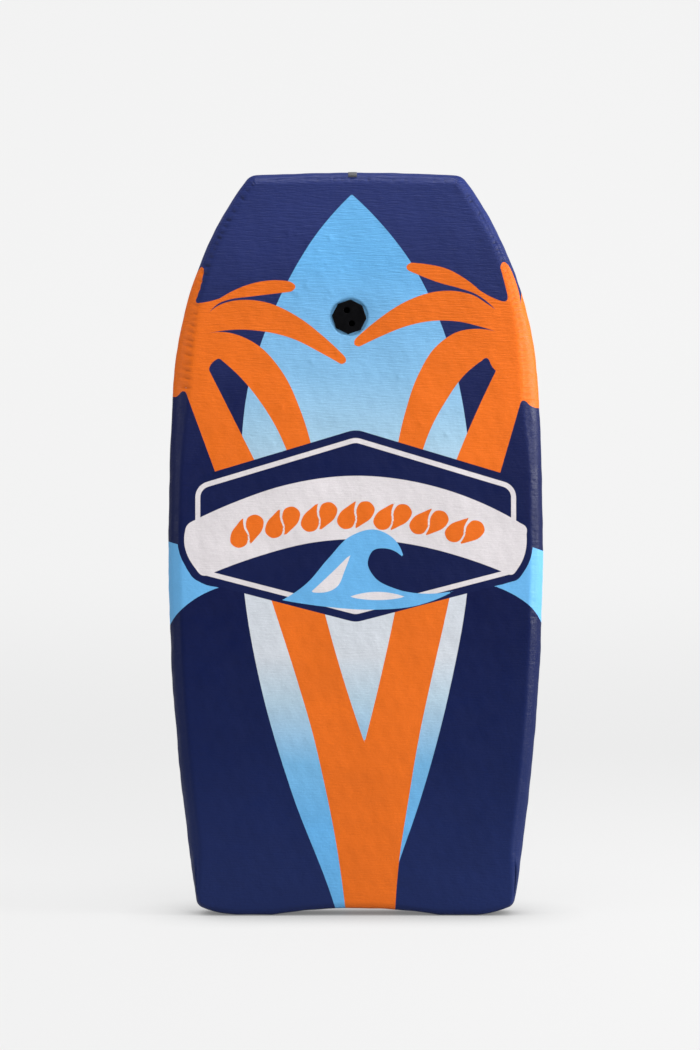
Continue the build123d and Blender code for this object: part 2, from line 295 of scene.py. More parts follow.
def add_node(tree, kind, inputs=None, **fields):
    """A shader node with its fields set and its inputs fed, each by a value or by another node's socket."""
    made = tree.nodes.new("ShaderNode" + kind)
    for name, value in fields.items():
        setattr(made, name, value)
    for name, value in (inputs or {}).items():
        if isinstance(value, bpy.types.NodeSocket):
            tree.links.new(value, made.inputs[name])
        else:
            made.inputs[name].default_value = value
    return made


def new_material(name, roughness, **uniform):
    """A material with one surface shader, whose uniform values are set on its own sockets."""
    made = bpy.data.materials.new(name)
    made.use_nodes = True
    surface = made.node_tree.nodes["Principled BSDF"]
    surface.inputs["Roughness"].default_value = roughness
    for socket, value in uniform.items():
        surface.inputs[socket.replace("_", " ")].default_value = value
    return made, made.node_tree, surface


def mixed(tree, share, below, above):
    """Two colours mixed by a share."""
    return add_node(tree, "Mix", {0: share, 6: below, 7: above}, data_type="RGBA").outputs[2]


def worked(tree, what, first, second=0.0):
    """One sum on two values."""
    return add_node(tree, "Math", {0: first, 1: second}, operation=what).outputs[0]


def ranged(tree, value, low, high, start=0.0, end=1.0, shape="SMOOTHSTEP"):
    """A value that goes from start to end as the given one goes from low to high."""
    ends = {"Value": value, "From Min": low, "From Max": high, "To Min": start, "To Max": end}
    return add_node(tree, "MapRange", ends, interpolation_type=shape).outputs[0]


def raised(tree, surface, height, distance, strength=1.0, under=None):
    """Bump of that distance in metres from a height, on top of another bump where one is given."""
    inputs = {"Height": height, "Distance": distance, "Strength": strength}
    if under is not None:
        inputs["Normal"] = under
    bump = add_node(tree, "Bump", inputs).outputs[0]
    tree.links.new(bump, surface.inputs["Normal"])
    return bump


PLUG_X, PLUG_Z = -8.0, 747.0
STEM_HOLE = 18.2
SEAT_DEPTH, SEAT_RADIUS, SEAT_WALL, SEAT_LIP, SEAT_END = 2.9, 21.9, 2.4, 0.6, 36.0
CORE_RINGS = (20.0, 22.0, 23.2, 24.5, 29.0, 36.0)
CORE_RING_POINTS = 48


def ring(radius, count):
    """A circle of points round the leash plug's middle, in x and z."""
    turn = np.linspace(0, 2 * math.pi, count, endpoint=False)
    return np.stack([PLUG_X + radius * np.cos(turn), PLUG_Z + radius * np.sin(turn)], axis=1)


def seat(x, z):
    """How far the deck is pressed in round the leash plug: a flat seat with a soft lip."""
    away = np.hypot(x - PLUG_X, z - PLUG_Z)
    wall_end = SEAT_RADIUS + SEAT_WALL
    wall = eased(away, SEAT_RADIUS, wall_end, SEAT_DEPTH, SEAT_LIP)
    return np.where(away < wall_end, wall, eased(away, wall_end, SEAT_END, SEAT_LIP, 0))


core_rim = board_rim(CORE_STEP)
core_rows, _ = rail(core_rim, CORE_SKIN, 0)
core_side = on_board(core_rim, core_rows)
count = len(core_rim)
stem_hole = ring(STEM_HOLE, CORE_RING_POINTS)
top_edge, low_edge = core_side[0][:, [0, 2]], core_side[-1][:, [0, 2]]


def core_spots(edge):
    """Points over one face of the core: rings round the plug, and a wide honeycomb elsewhere."""

    def clear(spots):
        return (within(edge, spots) > 6) & (np.hypot(*(spots - (PLUG_X, PLUG_Z)).T) > CORE_RINGS[-1] + 4)

    rings = [ring(radius, CORE_RING_POINTS) for radius in CORE_RINGS]
    return np.vstack(rings + [honeycomb(CORE_FACE_STEP, clear)])


core_points, core_faces = [core_side.reshape(-1, 3)], []
for row in range(len(core_side) - 1):
    core_faces += strip(np.arange(count) + row * count, np.arange(count) + (row + 1) * count)
hole_rows = []
for edge, surface_y, shift, first, way in (
    (top_edge, deck_y, CORE_SKIN, 0, -1),
    (low_edge, bottom_y, -CORE_SKIN, (len(core_side) - 1) * count, 1),
):
    spots = core_spots(edge)
    flat = np.vstack([stem_hole, spots])
    start = sum(len(p) for p in core_points)
    pressed = seat(*flat.T) if way < 0 else 0
    core_points.append(np.stack([flat[:, 0], surface_y(flat[:, 1]) + shift + pressed, flat[:, 1]], axis=1))
    numbers = np.concatenate([np.arange(count) + first, np.arange(len(flat)) + start])
    hole_rows.append(np.arange(len(stem_hole)) + start)
    faces = [tuple(int(numbers[i]) for i in face) for face in filled(edge, stem_hole, spots)]
    core_faces += facing(faces, np.vstack(core_points), (0, way, 0))
core_faces += strip(*hole_rows)

core = add_mesh("bead_foam_core", np.vstack(core_points), core_faces)
foam, foam_nodes, foam_surface = new_material(
    "bead_foam", 0.8, Subsurface_Weight=0.1, Subsurface_Scale=0.004
)
where = add_node(foam_nodes, "TexCoord").outputs["Object"]
from_bead = add_node(foam_nodes, "TexVoronoi", {"Scale": 260.0, "Vector": where}).outputs["Distance"]
# Painted shade: the white foam is greyed towards the edge of each bead, where the gaps between beads lie in
# shade.
foam_with_painted_gap_shade = mixed(foam_nodes, ranged(foam_nodes, from_bead, 0.3, 0.8), CORE_COLOUR, BEAD_GAP_PAINTED_SHADE)
foam_nodes.links.new(foam_with_painted_gap_shade, foam_surface.inputs["Base Color"])
raised(foam_nodes, foam_surface, worked(foam_nodes, "SUBTRACT", 1.0, from_bead), 0.0006)
core.data.materials.append(foam)
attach(core, "board")
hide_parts("foam_core")

# Printed cover ---------------------------------------------------------------------------------
# A knitted polyester skin, printed before it is heat-bonded over the deck, down the rails and
# 30 mm under the bottom. It gathers in small puckers where it turns over the nose rails, stands
# up over stray beads, and is pressed down into a shallow seat under the leash plug.

RAIL_STEP = 2.0
DECK_STEP = 2.5
SEAT_RINGS = (20.2, 21.8, 22.5, 23.2, 24.2, 25.8, 28.0, 31.0, 35.0)
SEAT_RING_POINTS = 96
HEM_INSET = 30.0
HEM_STEP = 9.0
PUCKER_HALF_WIDTH = (1.3, 2.3)
PUCKER_LEAN = 0.25
LUMP_RADIUS, LUMP_HEIGHT = (1.7, 2.6), (0.4, 0.9)
STREAKS = 150
STREAK_LENGTH, STREAK_DEPTH, STREAK_HALF_WIDTH = (12, 46), (0.15, 0.45), (1.7, 2.6)
chance = np.random.default_rng(27)

rim = board_rim(RAIL_STEP)
rows, along = rail(rim)
side = on_board(rim, rows)
columns = len(rim)
lengths = np.linalg.norm(np.diff(side, axis=0), axis=2)
down = np.concatenate([np.zeros((1, columns)), np.cumsum(lengths, axis=0)])
crease_row = 4
from_crease = down - down[crease_row]


def waviness(x, z):
    """Slow unevenness of the bonded skin, of a few tenths of a millimetre."""
    total = np.zeros_like(x)
    for length, height in ((95, 0.16), (52, 0.10), (31, 0.07), (17, 0.045)):
        for _ in range(3):
            turn, phase = chance.uniform(0, math.pi), chance.uniform(0, 2 * math.pi)
            total += height * np.sin((x * math.cos(turn) + z * math.sin(turn)) * 2 * math.pi / length + phase)
    return total


def gathered(x, z):
    """The puckers at a place on the rim: gap to the next, depth, reach over the deck and over the bevel."""
    if abs(x) < 129 and z > 850:  # across the nose
        return (7, 15), (0.3, 0.8), 3.0, 9
    if z > ROCKER_START and x < 0:
        return (7, 12), (0.7, 1.5), 4.0, 16 - (z - ROCKER_START) / 40
    if z > ROCKER_START:
        return (6, 11), (0.5, 1.2), 4.0, 13 - (z - ROCKER_START) / 50
    if z > 360 and x > 0:  # the tight row beside the widest place
        return (5, 7.5), (0.4, 0.9), 1.5, 8
    if z > 25:
        return (14, 34), (0.08, 0.3), 1.5, 7
    return (10, 24), (0.1, 0.35), 2.0, 6  # across the tail


def gathers():
    """Every pucker on the rails: place along the rim, half width, reach over deck and bevel, and depth."""
    found, spot = [], 3.0
    while spot < along[-1] - 3:
        gaps, depths, over, below = gathered(*rim[int(np.searchsorted(along, spot)), :2])
        gap, deep = chance.uniform(*gaps), chance.uniform(*depths)
        found.append((spot, chance.uniform(*PUCKER_HALF_WIDTH), over, below, deep))
        spot += gap
    return found


dips = np.zeros(side.shape[:2])
for place, half, over, below, deep in gathers():
    reach = np.clip((from_crease + over) / over, 0, 1)
    reach *= np.clip((below - from_crease) / (0.7 * below), 0, 1)
    lean = place + chance.uniform(-PUCKER_LEAN, PUCKER_LEAN) * from_crease
    dips += deep * reach * np.exp(-(((along[None, :] - lean) / half) ** 2))
around = np.roll(side, -1, axis=1) - np.roll(side, 1, axis=1)
outward = np.cross(np.gradient(side, axis=0), around)
outward /= np.maximum(np.linalg.norm(outward, axis=2, keepdims=True), 1e-9)
middle = np.array([0, 0, MIDDLE_Z])
outward *= np.sign(((side - middle) * outward).sum(2, keepdims=True))
side_uneven = waviness(side[..., 0], side[..., 2] + side[..., 1])

deck_ring = side[0][:, [0, 2]]
seat_rings = [ring(radius, SEAT_RING_POINTS) for radius in (STEM_HOLE,) + SEAT_RINGS]


def on_deck(spots):
    """Where the deck's even honeycomb goes: clear of the rings round the plug and of the deck's edge."""
    clear = np.hypot(*(spots - (PLUG_X, PLUG_Z)).T) > SEAT_RINGS[-1] + 2
    return clear & (within(deck_ring, spots, 4.0) > 1.4)


deck_spots = np.vstack(seat_rings[1:] + [honeycomb(DECK_STEP, on_deck)])
deck_flat = np.vstack([seat_rings[0], deck_spots])
lumps = np.stack([chance.uniform(-86, -10, 22), chance.uniform(775, 850, 22)], axis=1)
lumps = np.vstack([lumps, np.stack([chance.uniform(-120, 140, 26), chance.uniform(560, 900, 26)], axis=1)])
bumps = np.zeros(len(deck_flat))
for lump in lumps:
    wide = chance.uniform(*LUMP_RADIUS)
    bumps += chance.uniform(*LUMP_HEIGHT) * np.exp(-((deck_flat - lump) ** 2).sum(1) / wide**2)
streaks = np.zeros(len(deck_flat))
for _ in range(STREAKS):
    edge_x, edge_z = deck_ring[int(chance.integers(len(deck_ring)))]
    if edge_z < 650:
        continue
    long, tilt = chance.uniform(*STREAK_LENGTH), chance.uniform(-0.25, 0.2)
    inward = -np.sign(edge_x) * np.array([math.cos(tilt), math.sin(tilt)])
    apart = deck_flat - (edge_x, edge_z)
    forward, sideways = apart @ inward, apart @ np.array([-inward[1], inward[0]])
    taper = np.clip(1 - forward / long, 0, 1) * (forward > -3)
    deep, half = chance.uniform(*STREAK_DEPTH), chance.uniform(*STREAK_HALF_WIDTH)
    streaks += deep * taper * np.exp(-((sideways / half) ** 2))
uneven = waviness(deck_flat[:, 0], deck_flat[:, 1])
fade = np.clip(within(deck_ring, deck_flat, 20.0) / 15.0, 0, 1)
height = deck_y(deck_flat[:, 1]) + seat(*deck_flat.T) - bumps
height = height + streaks * np.clip(fade * 4, 0, 1) + uneven * fade
deck_points = np.stack([deck_flat[:, 0], height, deck_flat[:, 1]], axis=1)
side_fade = np.clip(from_crease / 12.0, 0, 1) * np.clip((down[-1] - down) / 12.0, 0, 1)
side_points = side - outward * dips[..., None] + outward * (side_uneven * side_fade)[..., None]
side_points[-1] = side[-1]

hem_rim = board_rim(HEM_STEP)
hem_edge = hem_rim[:, :2] - HEM_INSET * hem_rim[:, 2:4]
away = within(board_rim(CORE_STEP)[:, :2], hem_edge, 40.0)
hem_edge = hem_edge[away > HEM_INSET - 0.6]
hem_edge = hem_edge[np.argsort(np.arctan2(hem_edge[:, 1] - MIDDLE_Z, hem_edge[:, 0]))]
hem_points = np.stack([hem_edge[:, 0], bottom_y(hem_edge[:, 1]) - 0.05, hem_edge[:, 1]], axis=1)

cover_points = np.vstack([side_points.reshape(-1, 3), deck_points, hem_points])
cover_faces = []
for row in range(len(side) - 1):
    cover_faces += strip(np.arange(columns) + row * columns, np.arange(columns) + (row + 1) * columns)
first = len(side) * columns
numbers = np.concatenate([np.arange(columns), np.arange(len(deck_flat)) + first])
deck_faces = [tuple(int(numbers[i]) for i in f) for f in filled(deck_ring, seat_rings[0], deck_spots)]
cover_faces += facing(deck_faces, cover_points, (0, -1, 0))
last_row, hem_first = np.arange(columns) + first - columns, first + len(deck_flat)
numbers = np.concatenate([last_row, np.arange(len(hem_edge)) + hem_first])
hem_faces = [tuple(int(numbers[i]) for i in f) for f in filled(side[-1][:, [0, 2]], hem_edge, [])]
cover_faces += facing(hem_faces, cover_points, (0, 1, 0))
cover = add_mesh("printed_cover", cover_points, cover_faces)

# The print is laid out flat, x across and z up the board, and runs on over the rails.
HEM_UNFOLD = (1.55, 1.3)  # puts the hem beyond the rails again, across and up
edge_down = np.take_along_axis(down, np.argmax(rows[..., 0] < 0.05, axis=0)[None, :], axis=0)
spread = np.where(down < edge_down, -rows[..., 0], down - edge_down)
laid = np.stack([rim[:, 0] + spread * rim[:, 2], rim[:, 1] + spread * rim[:, 3]], axis=-1)
hem_laid = (hem_edge - (0, MIDDLE_Z)) * HEM_UNFOLD + (0, MIDDLE_Z)
print_at = np.vstack([laid.reshape(-1, 2), deck_flat, hem_laid])


def drawn(*runs):
    """A closed outline of smooth runs through a few points each; runs meet at corners."""
    outline = []
    for run in runs:
        points = np.array(run, float)
        if len(points) < 3:
            outline += list(points)
            continue
        gaps = np.linalg.norm(np.diff(points, axis=0), axis=1)
        slopes = np.diff(points, axis=0) / gaps[:, None]
        both = (gaps[:-1] + gaps[1:])[:, None]
        inner = (slopes[:-1] * gaps[1:, None] + slopes[1:] * gaps[:-1, None]) / both
        tangents = np.vstack([2 * slopes[:1] - inner[:1], inner, 2 * slopes[-1:] - inner[-1:]])
        for i, gap in enumerate(gaps):
            t = np.linspace(0, 1, 9)[:, None]
            a, b, p, q = points[i], points[i + 1], tangents[i] * gap, tangents[i + 1] * gap
            leaving = (2 * t**3 - 3 * t**2 + 1) * a + (t**3 - 2 * t**2 + t) * p
            outline += list(leaving + (3 * t**2 - 2 * t**3) * b + (t**3 - t**2) * q)
    return np.array(outline)


def filleted(corners):
    """A closed outline of straight sides with rounded corners, each given as x, z and radius."""
    outline = []
    spots = np.array([c[:2] for c in corners], float)
    for i, (_, _, radius) in enumerate(corners):
        here, before, after = spots[i], spots[i - 1], spots[(i + 1) % len(spots)]
        to_before = (before - here) / np.linalg.norm(before - here)
        to_after = (after - here) / np.linalg.norm(after - here)
        half = math.acos(float(np.clip(to_before @ to_after, -1, 1))) / 2
        bisector = (to_before + to_after) / np.linalg.norm(to_before + to_after)
        centre = here + bisector * radius / math.sin(half)
        start, end = here + to_before * radius / math.tan(half), here + to_after * radius / math.tan(half)
        for t in np.linspace(0, 1, 9):
            way = (start - centre) * (1 - t) + (end - centre) * t
            outline.append(centre + way / max(np.linalg.norm(way), 1e-9) * radius)
    return np.array(outline)


def kept_on_cover(name, values):
    """Stores one value for each point of the cover, for its material to read."""
    stored = cover.data.attributes.new(name, "FLOAT", "POINT")
    stored.data.foreach_set("value", values.astype(np.float32))


def printed(name, *outlines):
    """Keeps how far inside a printed shape each point of the cover is, in millimetres."""
    kept_on_cover(name, np.max([within(outline, print_at) for outline in outlines], axis=0))


lens = drawn(
    [(-5, 898), (-46, 853), (-83, 794), (-109, 738), (-134, 660), (-143, 580), (-144, 490), (-139, 404),
     (-120, 294), (-79, 152), (-30, 24), (-8, -50)],
    [(20, -50), (54, 67), (79, 140), (118, 286), (139, 404), (144, 500), (139, 602), (113, 720),
     (69, 814), (29, 865), (-5, 898)],
)
printed("lens", lens)

wedges = [
    drawn([(-320, 490), (-213, 461)], [(-213, 461), (-213, 438), (-202, 422), (-169, 410)],
          [(-169, 410), (-204, 393), (-225, 374), (-238, 352), (-250, 320)], [(-330, 320)]),
    drawn([(320, 430), (235, 455), (212, 463)], [(212, 463), (212, 440), (200, 422), (170, 412)],
          [(170, 412), (200, 399), (221, 383), (236, 360), (250, 320)], [(330, 320)]),
]
printed("wedge", *wedges)

# Each palm is three overlapping shapes, so that the thin gaps between its fronds stay crisp.
upper_fronds = [
    drawn(
        [(-330, 790), (-215, 790), (-193, 810)], [(-193, 810), (-189, 809)],
        [(-189, 809), (-194, 783), (-199, 769)],
        [(-199, 769), (-199, 765), (-195, 764)], [(-195, 764), (-183, 766), (-169, 770)],
        [(-169, 770), (-149, 781), (-130, 788), (-108, 792), (-83, 791)],
        [(-83, 791), (-75, 784), (-81, 778)],
        [(-81, 778), (-132, 772), (-155, 769), (-170, 764), (-182, 753)],
        [(-182, 753), (-200, 735)], [(-330, 720)],
    ),
    drawn(
        [(330, 720), (200, 735)],
        [(174, 756), (161, 768), (148, 776), (131, 782), (105, 789), (83, 797), (66, 804)],
        [(66, 804), (63, 808), (69, 814)], [(69, 814), (89, 812), (112, 807), (135, 795), (154, 780)],
        [(154, 780), (164, 774), (180, 767)], [(180, 767), (188, 767), (189, 774)],
        [(189, 774), (184, 794), (180, 808)],
        [(180, 808), (184, 815), (190, 812)], [(190, 812), (202, 785), (206, 762)], [(215, 740), (330, 740)],
    ),
]
long_fronds = [
    drawn(
        [(-330, 760), (-182, 753)],
        [(-182, 753), (-171, 761), (-157, 766), (-136, 768), (-112, 765), (-69, 745), (-43, 725), (-14, 698)],
        [(-14, 698), (-12, 692), (-18, 688)],
        [(-18, 688), (-43, 702), (-79, 720), (-116, 729), (-150, 731), (-182, 727)],
        [(-182, 727), (-330, 700)],
    ),
    drawn(
        [(330, 700), (174, 729)],
        [(174, 729), (151, 736), (129, 741), (97, 742), (69, 737), (32, 723), (5, 710)],
        [(5, 710), (-2, 713), (0, 720)],
        [(0, 720), (23, 740), (69, 769), (89, 776), (106, 779), (131, 778), (148, 773), (161, 765),
         (174, 756)],
        [(174, 756), (203, 750)], [(206, 762), (207, 775), (214, 800)], [(330, 800)],
    ),
]
trees = [
    drawn(
        [(-330, 745), (-182, 727)],
        [(-182, 727), (-164, 728), (-149, 725), (-121, 711), (-92, 679), (-69, 631), (-55, 585)],
        [(-84, 575), (-97, 605), (-121, 644), (-143, 671), (-166, 692)],
        [(-166, 692), (-171, 695), (-175, 693)],
        [(-175, 693), (-181, 687), (-183, 681)], [(-183, 681), (-122, 560)], [(-172, 545), (-211, 651)],
        [(-211, 651), (-215, 655), (-219, 653)],
        [(-219, 653), (-225, 648), (-234, 650), (-250, 658), (-330, 660)],
    ),
    drawn(
        [(330, 640), (250, 636), (229, 634), (221, 635), (214, 641)], [(214, 641), (209, 643), (205, 638)],
        [(205, 638), (178, 545)], [(122, 560), (139, 602), (175, 680)], [(175, 680), (169, 687), (167, 692)],
        [(167, 692), (163, 696), (158, 693)], [(158, 693), (140, 679), (111, 640), (96, 613), (82, 575)],
        [(52, 585), (62, 629), (78, 675), (100, 710), (129, 729), (150, 732), (174, 729)],
        [(174, 729), (330, 745)],
    ),
]
trunks = drawn(
    [(-112, 415), (-97, 369), (-73, 294), (-54, 229), (-38, 160), (-26, 100), (-16, 34), (-8, -40)],
    [(48, -40), (54, 67), (66, 146), (79, 223), (94, 294), (111, 369), (121, 415)],
    [(56, 415), (29, 288), (11, 216)], [(11, 216), (-8, 272), (-27, 335), (-48, 415)],
)
printed("upper_fronds", *upper_fronds)
printed("long_fronds", *long_fronds)
printed("trees", *trees, trunks)

badge = filleted([
    (0, 597, 22), (200, 537, 20), (200, 428, 12), (0, 376, 18), (-200, 428, 12), (-200, 537, 20),
])
printed("badge", badge)
banner = drawn(
    [(-206, 491), (-151, 516), (-89, 537), (-2, 549), (85, 539), (155, 516), (207, 489)],
    [(207, 489), (213, 484), (213, 477)], [(213, 477), (202, 433), (196, 426), (186, 428)],
    [(186, 428), (128, 449), (66, 464), (1, 470), (-58, 465), (-120, 449), (-180, 427)],
    [(-180, 427), (-192, 425), (-198, 431)], [(-198, 431), (-213, 479), (-211, 486), (-206, 491)],
)
printed("banner", banner)

# On the banner a plain row of leaning water drops, and below it one curling wave.
ARCH_TOP, ARCH_RADIUS = 500.0, 470.0
DROPS, DROP_SIZE = 14, 1.2
ARCH_HALF_TURN = 18.2  # degrees from the middle to the last drop
arch_low = ARCH_TOP - ARCH_RADIUS
drops = []
for number in range(DROPS):
    turn = math.radians(-ARCH_HALF_TURN + 2 * ARCH_HALF_TURN * number / (DROPS - 1))
    drop = drawn([(11, 15), (3, 10), (-7, 2), (-10, -7), (-4, -14), (5, -13), (9, -5), (8, 4), (11, 15)])
    if number % 2:
        drop = drop * (-1, -1)
    spin = np.array([[math.cos(turn), -math.sin(turn)], [math.sin(turn), math.cos(turn)]])
    place = (ARCH_RADIUS * math.sin(turn), arch_low + ARCH_RADIUS * math.cos(turn))
    drops.append(DROP_SIZE * drop @ spin + place)
printed("drops", *drops)
wave = drawn(
    [(-92, 394), (-62, 414), (-34, 446), (-6, 474), (24, 482), (48, 470), (60, 446)],
    [(60, 446), (40, 458), (22, 456), (15, 440), (24, 422), (50, 408), (92, 402), (124, 406)],
    [(124, 406), (80, 388), (20, 382), (-40, 386), (-92, 394)],
)
foam_lines = [
    drawn([(-56, 404), (-30, 428), (-6, 452)], [(-6, 452), (-14, 430), (-22, 412), (-56, 404)]),
    drawn([(-8, 398), (20, 404), (62, 398)], [(62, 398), (24, 394), (-8, 398)]),
]
printed("wave", wave)
printed("foam_line", *foam_lines)

NAVY = (0.0035, 0.0085, 0.058, 1)
# Painted sheen: the navy is darkest half way up, painted lighter towards the tail, and lightest towards the
# nose.
NAVY_WITH_PAINTED_SHEEN = (
    (0.04, (0.009, 0.019, 0.092)), (0.22, (0.004, 0.011, 0.068)), (0.45, (0.002, 0.006, 0.050)),
    (0.72, (0.007, 0.012, 0.068)), (0.97, (0.020, 0.031, 0.135)),
)
ORANGE = (0.73, 0.142, 0.0115, 1)
WEDGE_BLUE = (0.130, 0.400, 0.72, 1)
BANNER_WHITE = (0.670, 0.632, 0.650, 1)
LENS_SHADES = (
    (0.12, (0.120, 0.390, 0.72)), (0.21, (0.160, 0.405, 0.66)), (0.30, (0.410, 0.545, 0.65)),
    (0.36, (0.575, 0.610, 0.66)), (0.50, (0.575, 0.610, 0.66)), (0.66, (0.330, 0.525, 0.68)),
    (0.75, (0.215, 0.450, 0.69)), (0.90, (0.130, 0.410, 0.75)),
)
INK_BLUR = 0.28
BADGE_BORDER, BANNER_BORDER = 9.5, 8.5  # navy outside the white
BADGE_LINE = 6.2  # width of the white line round the badge

# Depth of the puckers and streaks, which the ink material turns into painted shade.
kept_on_cover("fold", np.concatenate([dips.ravel(), streaks, np.zeros(len(hem_edge))]))


def speckled(tree, scale, detail=2.0, stretch=(1, 1, 1)):
    """Noise over the piece's own coordinates in metres, scale to the metre, stretched by axis."""
    where = add_node(tree, "TexCoord").outputs["Object"]
    place = add_node(tree, "Mapping", {"Vector": where, "Scale": stretch}).outputs[0]
    return add_node(tree, "TexNoise", {"Vector": place, "Scale": scale, "Detail": detail}).outputs[0]


def inked(tree, name, at=0.0):
    """1 on a printed shape and 0 off it, with the ink's soft edge; at moves that edge inwards."""
    depth = add_node(tree, "Attribute", attribute_name=name).outputs["Fac"]
    return ranged(tree, depth, at - INK_BLUR, at + INK_BLUR)


knit, ink, knit_surface = new_material("printed_knit", 0.4, Specular_IOR_Level=0.13)
where = add_node(ink, "TexCoord").outputs["Object"]
up = add_node(ink, "SeparateXYZ", {0: where}).outputs[2]
share = ranged(ink, up, 0.0, 0.9, shape="LINEAR")


def shaded_up(shades):
    """A colour that changes up the board through the given shades, each at a share of 0.9 m."""
    ramp = add_node(ink, "ValToRGB", {0: share})
    stops = ramp.color_ramp.elements
    while len(stops) < len(shades):
        stops.new(0.5)
    for stop, (place, shade) in zip(stops, shades):
        stop.position, stop.color = place, shade + (1,)
    return ramp.outputs[0]


# The navy ground carries the painted sheen up the board. The lens shades are its print.
colour = mixed(ink, inked(ink, "lens"), shaded_up(NAVY_WITH_PAINTED_SHEEN), shaded_up(LENS_SHADES))
colour = mixed(ink, inked(ink, "wedge"), colour, WEDGE_BLUE)
for shape in ("upper_fronds", "long_fronds", "trees"):
    colour = mixed(ink, inked(ink, shape), colour, ORANGE)
colour = mixed(ink, inked(ink, "banner", -BANNER_BORDER), colour, NAVY)
colour = mixed(ink, inked(ink, "badge", -BADGE_BORDER), colour, NAVY)
colour = mixed(ink, inked(ink, "badge"), colour, BANNER_WHITE)
colour = mixed(ink, inked(ink, "badge", BADGE_LINE), colour, NAVY)
colour = mixed(ink, inked(ink, "banner"), colour, BANNER_WHITE)
colour = mixed(ink, inked(ink, "drops"), colour, ORANGE)
colour = mixed(ink, inked(ink, "wave"), colour, WEDGE_BLUE)
colour = mixed(ink, inked(ink, "foam_line"), colour, BANNER_WHITE)
# Painted sheen: slow cloudy patches make the ink a little lighter or darker, standing in for soft broad
# highlights.
painted_sheen_clouds = ranged(ink, speckled(ink, 9.0, 3.0), 0.3, 0.7, 0.93, 1.04, "LINEAR")
flecks = ranged(ink, speckled(ink, 950.0, 2.0), 0.25, 0.75, 0.93, 1.05, "LINEAR")
# Painted shade: the ink is darkened inside the puckers and streaks, by up to a sixth lower down and to less
# than half near the nose.
fold = add_node(ink, "Attribute", attribute_name="fold").outputs["Fac"]
shaded = ranged(ink, fold, 0.2, 1.3, 1.0, ranged(ink, up, 0.78, 0.84, 0.84, 0.45))
tone = worked(ink, "MULTIPLY", worked(ink, "MULTIPLY", painted_sheen_clouds, flecks), shaded)
toned = add_node(ink, "VectorMath", {0: colour, 1: tone}, operation="MULTIPLY")
ink.links.new(toned.outputs[0], knit_surface.inputs["Base Color"])
gloss = ranged(ink, speckled(ink, 40.0, 4.0), 0.3, 0.7, 0.34, 0.52, "LINEAR")
ink.links.new(gloss, knit_surface.inputs["Roughness"])
row_waves = {"Vector": where, "Scale": 330.0, "Distortion": 1.5, "Detail": 2.0}
courses = add_node(ink, "TexWave", row_waves, bands_direction="Z").outputs["Fac"]
stitch_waves = {"Vector": where, "Scale": 400.0, "Distortion": 1.0}
wales = add_node(ink, "TexWave", stitch_waves, bands_direction="DIAGONAL").outputs["Fac"]
ribs = worked(ink, "MULTIPLY", speckled(ink, 60.0, 4.0, (1.0, 1.0, 9.0)), ranged(ink, up, 0.5, 0.9, 0.5, 2.2))
bead_cells = {"Vector": where, "Scale": 240.0, "Randomness": 1.0}
pebbles = add_node(ink, "TexVoronoi", bead_cells, feature="SMOOTH_F1").outputs["Distance"]
knit_bump = raised(ink, knit_surface, worked(ink, "MULTIPLY", courses, wales), 0.00005)
rib_bump = raised(ink, knit_surface, ribs, 0.0007, 0.8, knit_bump)
raised(ink, knit_surface, pebbles, -0.0003, 0.6, rib_bump)
cover.data.materials.append(knit)
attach(cover, "board")
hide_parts("deck_cover")

# Slick bottom ----------------------------------------------------------------------------------
# A smooth sheet of navy polyethylene, heat-bonded over the bottom and over the cover's hem.
# Rolling leaves long faint lines in it, and its satin face picks up fine scuffs.

SLICK_NAVY, SLICK_WORN = (0.010, 0.017, 0.085, 1), (0.014, 0.023, 0.105, 1)
sheet_plastic, slick, slick_surface = new_material(
    "slick_sheet", 0.34, Coat_Weight=0.04, Coat_Roughness=0.25, Specular_IOR_Level=0.3
)
rolled = speckled(slick, 14.0, 5.0, (9.0, 9.0, 0.7))
patchy = speckled(slick, 6.0, 3.0)
shade = mixed(slick, ranged(slick, patchy, 0.3, 0.7, shape="LINEAR"), SLICK_NAVY, SLICK_WORN)
slick.links.new(shade, slick_surface.inputs["Base Color"])
gloss = ranged(slick, rolled, 0.25, 0.75, 0.26, 0.42, "LINEAR")
slick.links.new(gloss, slick_surface.inputs["Roughness"])
grain = raised(slick, slick_surface, rolled, 0.0003, 0.5)
raised(slick, slick_surface, speckled(slick, 420.0, 3.0), 0.0001, 0.5, grain)
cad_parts["slick_bottom"].data.materials.clear()
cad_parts["slick_bottom"].data.materials.append(sheet_plastic)

# Nose tab --------------------------------------------------------------------------------------
# A short end of dark grey woven tape, folded over the middle of the nose and bonded down.
# It is 11 mm wide. Its weave shows as fine crossing ridges.

TAB_WIDTH, TAB_LIFT, TAB_REACH = 11.0, 0.7, 6.5
TAB_COLUMNS = 12
TAPE_THICKNESS = 0.0006
TAPE_DARK, TAPE_PALE = (0.022, 0.022, 0.028, 1), (0.075, 0.077, 0.09, 1)
tab_low, tab_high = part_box("nose_tab")
tab_middle = (tab_low.x + tab_high.x) / 2 / MM
tab_x = np.linspace(tab_middle - TAB_WIDTH / 2, tab_middle + TAB_WIDTH / 2, TAB_COLUMNS)
tab_z = LENGTH - tab_x**2 / (2 * NOSE_RADIUS)
tab_rim = np.stack([tab_x, tab_z, tab_x / NOSE_RADIUS, np.ones_like(tab_x), np.zeros_like(tab_x)], axis=1)
tab_rows, _ = rail(tab_rim, -TAB_LIFT)
tab_rows = tab_rows[tab_rows[:, 0, 0] < TAB_REACH]
tab_points = on_board(tab_rim, tab_rows)
tab_faces = []
for row in range(len(tab_rows) - 1):
    for near in range(row * TAB_COLUMNS, (row + 1) * TAB_COLUMNS - 1):
        tab_faces.append((near, near + 1, near + TAB_COLUMNS + 1, near + TAB_COLUMNS))
